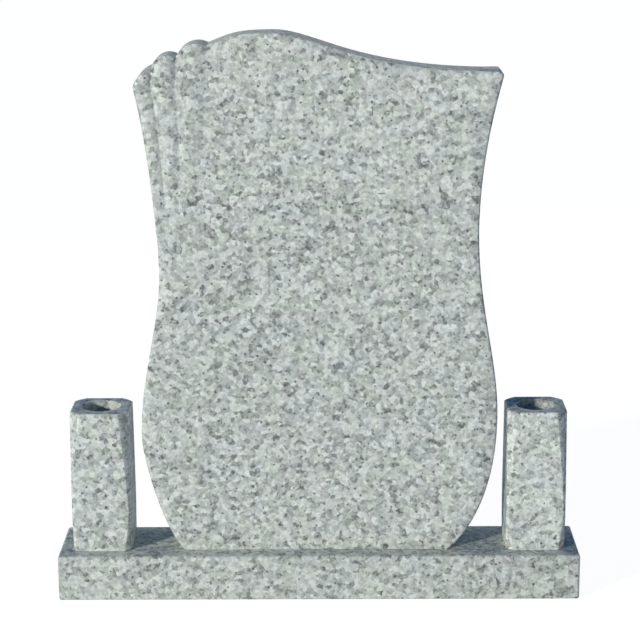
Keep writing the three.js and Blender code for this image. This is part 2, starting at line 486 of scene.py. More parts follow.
def show(name: str, mesh: bpy.types.Mesh) -> bpy.types.Object:
    """Puts a mesh in the scene.

    Args:
        name: The object's name.
        mesh: The mesh, its place already in its points.

    Returns:
        The object, at the origin.
    """
    obj = bpy.data.objects.new(name, mesh)
    bpy.context.scene.collection.objects.link(obj)
    return obj


def applied(obj: bpy.types.Object, name: str) -> bpy.types.Mesh:
    """Turns an object's modifiers into a plain mesh.

    Args:
        obj: The object, which is removed.
        name: The new mesh's name.

    Returns:
        The mesh as the modifiers leave it.
    """
    bpy.context.view_layer.update()
    evaluated = obj.evaluated_get(bpy.context.evaluated_depsgraph_get())
    mesh = bpy.data.meshes.new_from_object(evaluated)
    mesh.name = name
    bpy.data.objects.remove(obj)
    return mesh


def polish_shading(mesh: bpy.types.Mesh) -> None:
    """Shades a mesh smooth, but for its creases.

    Args:
        mesh: The mesh.
    """
    mesh.polygons.foreach_set("use_smooth", [True] * len(mesh.polygons))
    mesh.set_sharp_from_angle(angle=CREASE)
    mesh.update()


def set_inputs(modifier: bpy.types.NodesModifier, **values: float) -> None:
    """Sets a Geometry Nodes modifier's named inputs by their identifiers.

    Args:
        modifier: The modifier, its node group already set.
        **values: The inputs, by name, with underscores for spaces.
    """
    for item in modifier.node_group.interface.items_tree:
        key = item.name.replace(" ", "_")
        if item.in_out == "INPUT" and key in values:
            modifier[item.identifier] = values[key]


@dataclass
class SideCurve:
    """One side of the headstone's outline, in millimetres.

    Half widths count from the centre line, heights from the foot and drops from the crown. A reach
    is the length of a curve's handle at that point.
    """

    foot: float
    foot_flare: tuple[float, float]
    belly: float
    belly_height: float
    belly_reach: tuple[float, float]
    waist: float
    waist_height: float
    waist_reach: tuple[float, float]
    shoulder: float
    shoulder_drop: float
    shoulder_lean: tuple[float, float]

    def points(self, height: float, steps: int) -> np.ndarray:
        """Follows the side from the foot up to the shoulder.

        Args:
            height: The headstone's height.
            steps: The number of steps in each of the three spans.

        Returns:
            Rows of half width and height.
        """
        top = height - self.shoulder_drop
        down, up = self.belly_reach
        waist_down, waist_up = self.waist_reach
        spans = [
            (
                (self.foot, 0.0),
                (self.foot + self.foot_flare[0], self.foot_flare[1]),
                (self.belly, self.belly_height - down),
                (self.belly, self.belly_height),
            ),
            (
                (self.belly, self.belly_height),
                (self.belly, self.belly_height + up),
                (self.waist, self.waist_height - waist_down),
                (self.waist, self.waist_height),
            ),
            (
                (self.waist, self.waist_height),
                (self.waist, self.waist_height + waist_up),
                (self.shoulder - self.shoulder_lean[0], top - self.shoulder_lean[1]),
                (self.shoulder, top),
            ),
        ]
        rows = [np.array([spans[0][0]])]
        rows += [bezier(span, steps) for span in spans]
        return np.vstack(rows)


def bezier(span: tuple, steps: int) -> np.ndarray:
    """Follows a cubic curve.

    Args:
        span: Its start, two handles and end.
        steps: The number of steps.

    Returns:
        The points after the start.
    """
    a, b, c, d = (np.array(point, float) for point in span)
    t = np.linspace(0, 1, steps + 1)[1:, None]
    return a * (1 - t) ** 3 + 3 * b * t * (1 - t) ** 2 + 3 * c * t**2 * (1 - t) + d * t**3


def bulged_arc(start: np.ndarray, end: np.ndarray, bulge: float, steps: int) -> np.ndarray:
    """Follows an arc that stands off its chord, to the right of the way.

    Args:
        start: The first point.
        end: The last point.
        bulge: How far the arc stands off the middle of the chord.
        steps: The number of steps.

    Returns:
        The points after the start.
    """
    chord = end - start
    half = np.hypot(*chord) / 2
    radius = (half * half + bulge * bulge) / (2 * bulge)
    outward = np.array([chord[1], -chord[0]]) / (2 * half)
    centre = (start + end) / 2 + outward * (bulge - radius)
    first = math.atan2(*(start - centre)[::-1])
    sweep = 2 * math.asin(half / radius)
    angles = first + sweep * np.linspace(0, 1, steps + 1)[1:]
    return centre + radius * np.column_stack([np.cos(angles), np.sin(angles)])


def turns_of(points: np.ndarray) -> tuple[np.ndarray, np.ndarray]:
    """Measures an open outline.

    Args:
        points: Its points.

    Returns:
        The way of each stretch as a unit vector, and the turn at each inner point, positive to
        the left.
    """
    ways = np.diff(points, axis=0)
    ways /= np.hypot(ways[:, 0], ways[:, 1])[:, None]
    cross = ways[:-1, 0] * ways[1:, 1] - ways[:-1, 1] * ways[1:, 0]
    dot = np.sum(ways[:-1] * ways[1:], axis=1)
    return ways, np.arctan2(cross, dot)


def rounded(points: np.ndarray, radius: float, steps: int) -> np.ndarray:
    """Puts an arc in place of each kink that turns to the left.

    Args:
        points: The open outline.
        radius: The arc's radius.
        steps: The arc's steps.

    Returns:
        The new outline.
    """
    _, turns = turns_of(points)
    walked = np.concatenate([[0.0], np.cumsum(np.hypot(*np.diff(points, axis=0).T))])
    kept = np.ones(len(points), bool)
    arcs = {}
    for kink in np.flatnonzero(turns > KINK) + 1:
        reach = radius * math.tan(turns[kink - 1] / 2)
        near = walked[kink] - reach, walked[kink] + reach
        start, end = (np.array([np.interp(s, walked, points[:, k]) for k in (0, 1)]) for s in near)
        kept &= (walked <= near[0]) | (walked >= near[1])
        half = np.hypot(*(end - start)) / 2
        bulge = radius - math.sqrt(max(radius**2 - half**2, 0.0))
        arcs[int(kink)] = np.vstack([start, bulged_arc(start, end, bulge, steps)])
    made = []
    for number, point in enumerate(points):
        if number in arcs:
            made.extend(arcs[number])
        elif kept[number]:
            made.append(point)
    return np.array(made)


def fanned(points: np.ndarray, steps: int) -> tuple[np.ndarray, np.ndarray]:
    """Gives each point of an outline its inward normal, to the left of the way.

    Args:
        points: The open outline.
        steps: The number of steps in which the normal turns at a valley.

    Returns:
        The points and the normals, each valley's point several times.
    """
    ways, turns = turns_of(points)
    normals = np.column_stack([-ways[:, 1], ways[:, 0]])
    made_points, made_normals = [points[0]], [normals[0]]
    for number in range(1, len(points) - 1):
        before = normals[number - 1]
        is_valley = turns[number - 1] < -KINK
        shares = np.linspace(0, 1, steps + 1) if is_valley else np.array([0.5])
        angle = math.atan2(before[1], before[0])
        for share in shares:
            turned = angle + share * turns[number - 1]
            made_points.append(points[number])
            made_normals.append((math.cos(turned), math.sin(turned)))
    made_points.append(points[-1])
    made_normals.append(normals[-1])
    return np.array(made_points), np.array(made_normals)


def smooth(share: np.ndarray) -> np.ndarray:
    """Eases a share from 0 to 1, held at both ends."""
    held = np.clip(share, 0, 1)
    return held * held * (3 - 2 * held)


@dataclass
class Fold:
    """One carved fold, in millimetres. Its valley's drop is measured from the crown."""

    top_width: float
    run_out_width: float
    valley_drop: float
    bulge: float


@dataclass
class FoldCarving:
    """How the folds are carved, in millimetres, with a tree of Geometry Nodes that carves them."""

    depth: float = 6.0
    crest_drop: float = 0.6
    crest_fade: float = 0.25
    run_out_height: float = 492.0
    upright_drop: float = 66.0
    lip_width: float = 120.0
    lip_run_out_share: float = 0.3
    width_ease: float = 0.8
    depth_ease: float = 1.0
    roundness: float = 0.84
    valley_floor: float = 0.86
    valley_softness: float = 0.35

    # A fold reaches past its valleys by a thousandth, so that no point on a valley is missed.
    FOLD_REACH = 1.001

    # The sizes that the tree takes as inputs, apart from the folds' widths.
    LENGTHS = ("run_out_height", "depth", "crest_drop", "lip_width")
    SHARES = ("crest_fade", "lip_run_out_share", "width_ease", "depth_ease", "roundness")

    def fold_group(self) -> Graph:
        """Builds the group that gives one fold's depth.

        Returns:
            The group, with inputs for where it starts, its width, depths and roundness, and with
            Depth and End outputs.
        """
        g = Graph.group("One fold", "GeometryNodeTree")
        names = ("Across", "Start", "Width", "Valley_Depth", "Crest_Depth", "Roundness")
        s = g.entrance(**dict.fromkeys(names, "Float"))
        middle = g.math("DIVIDE", g.math("SUBTRACT", s["Across"], s["Start"]), s["Width"])
        side = g.math("MULTIPLY_ADD", middle, 2.0, -1.0)
        inside = g.math("LESS_THAN", g.math("ABSOLUTE", side), self.FOLD_REACH)

        def sagitta(share: object) -> bpy.types.NodeSocket:
            """Returns one minus the root of one minus the share's square."""
            square = g.math("MULTIPLY", share, share)
            rest = g.math("MAXIMUM", g.math("SUBTRACT", 1.0, square), 0.0)
            return g.math("SUBTRACT", 1.0, g.math("SQRT", rest))

        round_share = g.math("MULTIPLY", side, s["Roundness"])
        fall = g.math("DIVIDE", sagitta(round_share), sagitta(s["Roundness"]))
        depth = g.blend(fall, s["Crest_Depth"], s["Valley_Depth"])
        g.exit(
            Depth=g.math("MULTIPLY", depth, inside),
            End=g.math("ADD", s["Start"], s["Width"]),
        )
        return g

    def tree(self, folds: list[Fold], material: bpy.types.Material) -> bpy.types.NodeTree:
        """Builds the tree that pushes the face back where the folds are carved.

        Args:
            folds: The folds, from the outer edge inwards.
            material: The stone's material.

        Returns:
            The tree, with its sizes as named inputs in metres.
        """
        one_fold = self.fold_group()
        g = Graph.group("Carved folds", "GeometryNodeTree")
        names = [name.title() for name in self.LENGTHS + self.SHARES] + ["Upright_Height"]
        names += self.widths(folds)
        s = g.entrance(Geometry="Geometry", **dict.fromkeys(names, "Float"))
        x, _, z = g.axes(g.node("GeometryNodeInputPosition").outputs[0])
        edge = g.node("GeometryNodeInputNamedAttribute", {0: Headstone.LEFT_EDGE}).outputs[0]
        carved = g.node("GeometryNodeInputNamedAttribute", {0: Headstone.CARVED}).outputs[0]
        across = g.math("MAXIMUM", g.math("SUBTRACT", x, edge), 0.0)
        rise = g.math("SUBTRACT", z, s["Run_Out_Height"])
        whole = g.math("SUBTRACT", s["Upright_Height"], s["Run_Out_Height"])
        climb = g.math("DIVIDE", rise, whole, clamp=True)
        wide = g.math("POWER", climb, s["Width_Ease"])
        valley = g.math("MULTIPLY", s["Depth"], g.math("POWER", climb, s["Depth_Ease"]))
        faded = g.math("DIVIDE", climb, s["Crest_Fade"], clamp=True)
        crest = g.math("MULTIPLY", s["Crest_Drop"], faded)
        start: object = 0.0
        depth: object = 0.0
        for number in range(1, len(folds) + 1):
            width = g.blend(wide, s[f"Run_Out_Width_{number}"], s[f"Top_Width_{number}"])
            fold = g.placed(
                one_fold,
                Across=across,
                Start=start,
                Width=width,
                Valley_Depth=valley,
                Crest_Depth=crest,
                Roundness=s["Roundness"],
            )
            depth = g.math("MAXIMUM", depth, fold.outputs["Depth"])
            start = fold.outputs["End"]
        lip_width = g.math("MULTIPLY", s["Lip_Width"], g.blend(climb, s["Lip_Run_Out_Share"], 1.0))
        past = g.math("DIVIDE", g.math("SUBTRACT", across, start), lip_width)
        left = g.math("SUBTRACT", 1.0, past, clamp=True)
        lip = g.math("MULTIPLY", valley, g.math("MULTIPLY", left, g.math("GREATER_THAN", past, 0.0)))
        depth = g.math("MAXIMUM", depth, lip)
        floor = g.math("MULTIPLY", valley, self.valley_floor)
        softness = g.math("MULTIPLY", valley, self.valley_softness)
        depth = g.math("SMOOTH_MIN", depth, floor, softness)
        push = g.node("ShaderNodeCombineXYZ", {"Y": g.math("MULTIPLY", depth, carved)}).outputs[0]
        moved = g.node("GeometryNodeSetPosition", {"Geometry": s["Geometry"], "Offset": push})
        real = g.node("GeometryNodeRealizeInstances", {0: moved.outputs[0]})
        dressed = g.node("GeometryNodeSetMaterial", {"Geometry": real.outputs[0], "Material": material})
        g.exit(Geometry=dressed.outputs[0])
        return g.tree

    @staticmethod
    def widths(folds: list[Fold]) -> dict[str, float]:
        """Gives the folds' widths as inputs.

        Args:
            folds: The folds, from the outer edge inwards.

        Returns:
            The widths in metres, by the inputs' names.
        """
        widths = {}
        for number, fold in enumerate(folds, start=1):
            widths[f"Top_Width_{number}"] = fold.top_width * MM
            widths[f"Run_Out_Width_{number}"] = fold.run_out_width * MM
        return widths

    def carve(
        self, slab: bpy.types.Object, height: float, folds: list[Fold], material: bpy.types.Material
    ) -> None:
        """Adds the carving to the slab as a modifier.

        Args:
            slab: The slab, its foot at z = 0.
            height: The headstone's height in millimetres.
            folds: The folds, from the outer edge inwards.
            material: The stone's material.
        """
        modifier = slab.modifiers.new("carving", "NODES")
        modifier.node_group = self.tree(folds, material)
        values = {name.title(): getattr(self, name) * MM for name in self.LENGTHS}
        values |= {name.title(): getattr(self, name) for name in self.SHARES}
        upright = (height - self.upright_drop) * MM
        set_inputs(modifier, Upright_Height=upright, **values, **self.widths(folds))


@dataclass
class Headstone:
    """The carved slab. Its outline is in millimetres, from the middle of its foot.

    The arris is a chamfer along the top, wider than deep, that narrows within arris_ease of either
    end of the top and within arris_rise of the shoulder. The room of a ring is how far the face's
    inner points stay clear of the outline.
    """

    granite: bpy.types.Material
    height: float = 891.3
    thickness: float = 80.0
    side_arris: float = 3.2
    top_arris: float = 10.0
    arris_depth: float = 6.0
    arris_bow: float = 0.35
    arris_ease: float = 70.0
    arris_rise: float = 30.0
    corner: float = 7.0
    tip_rise: float = 7.5
    right_reach: float = 240.0
    crown_set_over: float = 72.0
    crown_reach_right: float = 70.0
    crown_reach_left: float = 60.0
    fold_lean: tuple[float, float] = (40.0, 16.0)
    carving: FoldCarving = field(default_factory=FoldCarving)
    left: SideCurve = field(
        default_factory=lambda: SideCurve(
            foot=234.0,
            foot_flare=(35.0, 38.0),
            belly=302.5,
            belly_height=205.0,
            belly_reach=(42.0, 106.0),
            waist=266.5,
            waist_height=488.0,
            waist_reach=(84.0, 90.0),
            shoulder=303.0,
            shoulder_drop=88.3,
            shoulder_lean=(16.0, 62.0),
        )
    )
    right: SideCurve = field(
        default_factory=lambda: SideCurve(
            foot=226.0,
            foot_flare=(50.0, 46.0),
            belly=306.5,
            belly_height=240.0,
            belly_reach=(110.0, 98.0),
            waist=271.0,
            waist_height=560.0,
            waist_reach=(130.0, 95.0),
            shoulder=308.0,
            shoulder_drop=71.3,
            shoulder_lean=(22.0, 84.0),
        )
    )
    folds: list[Fold] = field(
        default_factory=lambda: [
            Fold(top_width=31.0, run_out_width=10.0, valley_drop=56.3, bulge=6.0),
            Fold(top_width=41.0, run_out_width=12.0, valley_drop=39.8, bulge=11.0),
            Fold(top_width=50.5, run_out_width=14.0, valley_drop=20.6, bulge=12.0),
        ]
    )
    side_steps: int = 60
    sweep_steps: int = 90
    crown_steps: int = 36
    corner_steps: int = 10
    valley_steps: int = 8
    round_steps: int = 24
    arris_steps: int = 5
    fold_columns: int = 14
    lip_columns: tuple[float, ...] = (0.1, 0.25, 0.5, 0.75, 1.0)
    fold_row: float = 4.0
    plain_cell: float = 30.0
    ring_room: float = 1.6

    # The carving reads these attributes: the left-hand edge's x, and which points it may push.
    LEFT_EDGE = "left_edge"
    CARVED = "carved"

    # The face is filled with triangles inside its outline alone, and points that are nearer than
    # this, in millimetres, are one point.
    FILL_INSIDE = 1
    SAME_POINT = 1e-5

    def springs(self) -> list[np.ndarray]:
        """Finds where the folds' round tops spring from.

        Returns:
            The left-hand shoulder and the valleys at the top, from there inwards.
        """
        x = -self.left.shoulder
        points = [np.array([x, self.height - self.left.shoulder_drop])]
        for fold in self.folds:
            x += fold.top_width
            points.append(np.array([x, self.height - fold.valley_drop]))
        return points

    def outline(self) -> tuple[np.ndarray, np.ndarray]:
        """Follows the outline from the foot's right end over the top to its left end.

        Returns:
            The points as rows of x and z, and their inward normals. A valley is there several
            times, its normals fanned out, so that the arris runs round it.
        """
        right = self.right.points(self.height, self.side_steps)
        left = self.left.points(self.height, self.side_steps) * (-1, 1)
        shoulder = right[-1]
        lean = self.right.shoulder_lean
        tip = shoulder + (self.tip_rise * lean[0] / lean[1], self.tip_rise)
        sweep_start = shoulder + (-self.tip_rise, self.tip_rise)
        crown = np.array([-self.crown_set_over, self.height])
        springs = self.springs()
        inner = springs[-1]
        runs = [
            right,
            np.array([tip, sweep_start]),
            bezier(
                (
                    sweep_start,
                    sweep_start - (self.right_reach, 0),
                    crown + (self.crown_reach_right, 0),
                    crown,
                ),
                self.sweep_steps,
            ),
            bezier(
                (crown, crown - (self.crown_reach_left, 0), inner + self.fold_lean, inner),
                self.crown_steps,
            ),
        ]
        for number in range(len(self.folds) - 1, -1, -1):
            bulge = self.folds[number].bulge
            runs.append(bulged_arc(springs[number + 1], springs[number], bulge, self.round_steps))
        runs.append(left[-2::-1])
        return fanned(rounded(np.vstack(runs), self.corner, self.corner_steps), self.valley_steps)

    def left_edge(self, heights: np.ndarray) -> np.ndarray:
        """Returns the x of the left-hand edge at each height; above the shoulder it stands upright."""
        side = self.left.points(self.height, self.side_steps)
        return -np.interp(heights, side[:, 1], side[:, 0])

    def arris_at(self, outline: np.ndarray) -> np.ndarray:
        """Measures the arris, wide along the top and narrow down the sides.

        Args:
            outline: The outline's points.

        Returns:
            The arris's width at each point.
        """
        x, z = outline[:, 0], outline[:, 1]
        from_end = np.minimum(x + self.left.shoulder, self.right.shoulder - x)
        low = self.height - max(self.left.shoulder_drop, self.right.shoulder_drop)
        share = smooth(from_end / self.arris_ease) * smooth((z - low) / self.arris_rise)
        return self.side_arris + (self.top_arris - self.side_arris) * share

    def arris_profile(self) -> list[tuple[float, float]]:
        """Follows the arris, a chamfer bowed a little outwards.

        Returns:
            The shares of its width and of its depth, from the slab's edge in to the face.
        """
        profile = []
        for share in np.linspace(0, 1, self.arris_steps + 1):
            turn = share * math.pi / 2
            inwards = (1 - self.arris_bow) * share + self.arris_bow * (1 - math.cos(turn))
            deep = (1 - self.arris_bow) * (1 - share) + self.arris_bow * (1 - math.sin(turn))
            profile.append((inwards, deep))
        return profile

    @staticmethod
    def inset(points: np.ndarray, normals: np.ndarray, distances: np.ndarray) -> np.ndarray:
        """Moves an outline inwards.

        Args:
            points: The outline from the foot's right end over the top to its left end.
            normals: Its inward normals.
            distances: How far each point moves.

        Returns:
            The moved outline, its two ends still at the foot.
        """
        moved = points + distances[:, None] * normals
        for end in (0, -1):
            moved[end] = points[end] + (distances[end] / normals[end, 0], 0.0)
        return moved

    def fold_points(self, inner: np.ndarray) -> tuple[list, list]:
        """Lays out the points of the carved face, in columns that follow the folds.

        Args:
            inner: The outline at the face, which the points stay inside.

        Returns:
            The points, and pairs of their numbers that run along the valleys.
        """
        carving = self.carving
        top = self.height - carving.upright_drop
        rows = np.arange(carving.run_out_height, self.height, self.fold_row)
        across = (1 - np.cos(np.linspace(0, math.pi, self.fold_columns + 1))) / 2
        points: list = []
        edges: list = []
        below: dict[int, int] = {}
        for z in rows:
            climb = min(1.0, (z - carving.run_out_height) / (top - carving.run_out_height))
            wide = climb**carving.width_ease
            x = float(self.left_edge(np.array([z]))[0])
            columns = [x]
            for fold in self.folds:
                width = fold.run_out_width + (fold.top_width - fold.run_out_width) * wide
                columns += list(x + width * across[1:])
                x += width
            lip_share = carving.lip_run_out_share + (1 - carving.lip_run_out_share) * climb
            lip = carving.lip_width * lip_share
            columns += [x + lip * share for share in self.lip_columns]
            here = {}
            inside = self.is_inside(inner, np.array([(x, z) for x in columns]))
            for number, (x, kept) in enumerate(zip(columns, inside)):
                if kept:
                    here[number] = len(points)
                    points.append((x, z))
            for valley in range(self.fold_columns, len(columns), self.fold_columns):
                if valley in here and valley in below:
                    edges.append((below[valley], here[valley]))
            below = here
        return points, edges

    def plain_points(self, inner: np.ndarray) -> list:
        """Lays a coarse grid over the plain part of the face.

        Args:
            inner: The outline at the face, which the points stay inside.

        Returns:
            The grid's points.
        """
        cell = self.plain_cell
        carved_to = max(fold[0] for fold in self.springs()) + self.carving.lip_width + cell / 2
        points = []
        for z in np.arange(cell / 2, self.height, cell):
            start = carved_to if z > self.carving.run_out_height - cell / 2 else -self.left.belly
            points += [(x, z) for x in np.arange(start, self.right.shoulder, cell)]
        inside = self.is_inside(inner, np.array(points))
        return [point for point, kept in zip(points, inside) if kept]

    def is_inside(self, outline: np.ndarray, points: np.ndarray) -> np.ndarray:
        """Tells which points are inside an outline and clear of it by the ring's room.

        Args:
            outline: The closed outline.
            points: The points.

        Returns:
            For each point, whether it is.
        """
        x, z = points[:, 0][:, None], points[:, 1][:, None]
        a = outline
        b = np.roll(outline, -1, axis=0)
        spans = (a[:, 1] > z) != (b[:, 1] > z)
        with np.errstate(divide="ignore", invalid="ignore"):
            crossing = a[:, 0] + (z - a[:, 1]) * (b[:, 0] - a[:, 0]) / (b[:, 1] - a[:, 1])
        odd = np.sum(spans & (x < crossing), axis=1) % 2 == 1
        way = b - a
        along = ((x - a[:, 0]) * way[:, 0] + (z - a[:, 1]) * way[:, 1]) / np.sum(way**2, axis=1)
        along = np.clip(along, 0, 1)
        gap = np.hypot(x - a[:, 0] - along * way[:, 0], z - a[:, 1] - along * way[:, 1])
        return odd & (gap.min(axis=1) > self.ring_room)

    def slab(self) -> bpy.types.Mesh:
        """Builds the slab before it is carved, its foot at z = 0 and its face at y = 0.

        Returns:
            The mesh, with the attributes that the carving reads.
        """
        outline, normals = self.outline()
        count = len(outline)
        radius = self.arris_at(outline)
        arris_depth = np.minimum(radius, self.arris_depth)
        profile = self.arris_profile()
        rings = []
        for inwards, deep in reversed(profile):
            rings.append((self.inset(outline, normals, radius * inwards), arris_depth * deep, 1.0))
        for inwards, deep in profile:
            ring = self.inset(outline, normals, radius * inwards)
            rings.append((ring, self.thickness - arris_depth * deep, 0.0))
        vertices = [(x, y, z) for ring, depths, _ in rings for (x, z), y in zip(ring, depths)]
        carved = [flag for _, _, flag in rings for _ in range(count)]
        faces = []
        for ring in range(len(rings) - 1):
            for i in range(count - 1):
                a = ring * count + i
                faces.append((a, a + 1, a + count + 1, a + count))
        foot = [ring * count for ring in range(len(rings))]
        far = [ring * count + count - 1 for ring in reversed(range(len(rings)))]
        faces.append(tuple(foot + far))
        front = rings[0][0]
        fold_points, valley_edges = self.fold_points(front)
        extra = fold_points + self.plain_points(front)
        faces += self.cap(front, 0, extra, valley_edges, len(vertices), flip=False)
        vertices += [(x, 0.0, z) for x, z in extra]
        carved += [1.0] * len(extra)
        last = (len(rings) - 1) * count
        faces += self.cap(rings[-1][0], last, [], [], 0, flip=True)
        mesh = bpy.data.meshes.new("headstone")
        mesh.from_pydata([Vector(v) * MM for v in vertices], [], faces)
        heights = np.array([v[2] for v in vertices])
        for name, values in ((self.LEFT_EDGE, self.left_edge(heights) * MM), (self.CARVED, carved)):
            layer = mesh.attributes.new(name, "FLOAT", "POINT")
            layer.data.foreach_set("value", np.asarray(values, np.float32))
        return mesh

    @classmethod
    def cap(
        cls, ring: np.ndarray, first: int, extra: list, edges: list, extra_first: int, flip: bool
    ) -> list[tuple[int, ...]]:
        """Fills a flat outline with triangles.

        Args:
            ring: The outline.
            first: The mesh's number of the outline's first point.
            extra: Points inside it that become corners too.
            edges: Pairs of those points that an edge must join.
            extra_first: The mesh's number of the first such point.
            flip: Whether the triangles face the other way.

        Returns:
            The triangles, as numbers of the mesh's points.
        """
        count = len(ring)
        points = [Vector(point) for point in ring] + [Vector(point) for point in extra]
        inner = [(a + count, b + count) for a, b in edges]
        outline = [list(range(count))]
        filled = delaunay_2d_cdt(points, inner, outline, cls.FILL_INSIDE, cls.SAME_POINT)
        places, _, triangles, origins = filled[:4]
        crossing = [tuple(place) for place, numbers in zip(places, origins) if not numbers]
        if crossing:
            raise ValueError(f"the outline crosses itself at {crossing}")
        faces = []
        for triangle in triangles:
            corners = [origins[i][0] for i in triangle]
            numbers = [first + i if i < count else extra_first + i - count for i in corners]
            faces.append(tuple(numbers[::-1] if flip else numbers))
        return faces

    def build(self) -> bpy.types.Object:
        """Builds the headstone in the place of its node.

        Returns:
            The finished headstone.
        """
        low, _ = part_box("headstone")
        slab = show("headstone_slab", self.slab())
        self.carving.carve(slab, self.height, self.folds, self.granite)
        stone = applied(slab, "headstone")
        for name in (self.LEFT_EDGE, self.CARVED):
            stone.attributes.remove(stone.attributes[name])
        stone.transform(Matrix.Translation((0.0, low.y, low.z)))
        outward(stone)
        polish_shading(stone)
        return finished(show("headstone_carved", stone), "headstone_granite", "headstone")


def outward(mesh: bpy.types.Mesh) -> None:
    """Merges a closed mesh's doubles and turns every face outwards.

    Args:
        mesh: The mesh.
    """
    form = bmesh.new()
    form.from_mesh(mesh)
    bmesh.ops.remove_doubles(form, verts=form.verts, dist=SAME_CORNER)
    bmesh.ops.recalc_face_normals(form, faces=form.faces)
    open_edges = sum(1 for edge in form.edges if not edge.is_manifold)
    form.to_mesh(mesh)
    form.free()
    if open_edges:
        log.warning("%s: %d edges are not closed", mesh.name, open_edges)


@dataclass
class Plinth:
    """The slab that carries the headstone and the vases."""

    polished: bpy.types.Material
    sawn: bpy.types.Material
    arris: float = 4.5 * MM
    arris_steps: int = 5

    # A bevel's profile that makes a quarter round.
    ROUND = 0.5

    # A face whose normal's height is below this looks down.
    DOWNWARD = -0.9

    def build(self) -> bpy.types.Object:
        """Builds the plinth in its node's box.

        Returns:
            The finished plinth.
        """
        low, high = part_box("plinth")
        form = bmesh.new()
        bmesh.ops.create_cube(form, size=1.0)
        bmesh.ops.scale(form, vec=high - low, verts=form.verts)
        bmesh.ops.translate(form, vec=(low + high) / 2, verts=form.verts)
        bmesh.ops.bevel(
            form,
            geom=form.edges[:],
            offset=self.arris,
            segments=self.arris_steps,
            profile=self.ROUND,
            affect="EDGES",
        )
        for face in form.faces:
            face.material_index = int(face.normal.z < self.DOWNWARD)
        mesh = bpy.data.meshes.new("plinth")
        form.to_mesh(mesh)
        form.free()
        mesh.materials.append(self.polished)
        mesh.materials.append(self.sawn)
        outward(mesh)
        polish_shading(mesh)
        return finished(show("plinth_slab", mesh), "plinth_granite", "plinth")


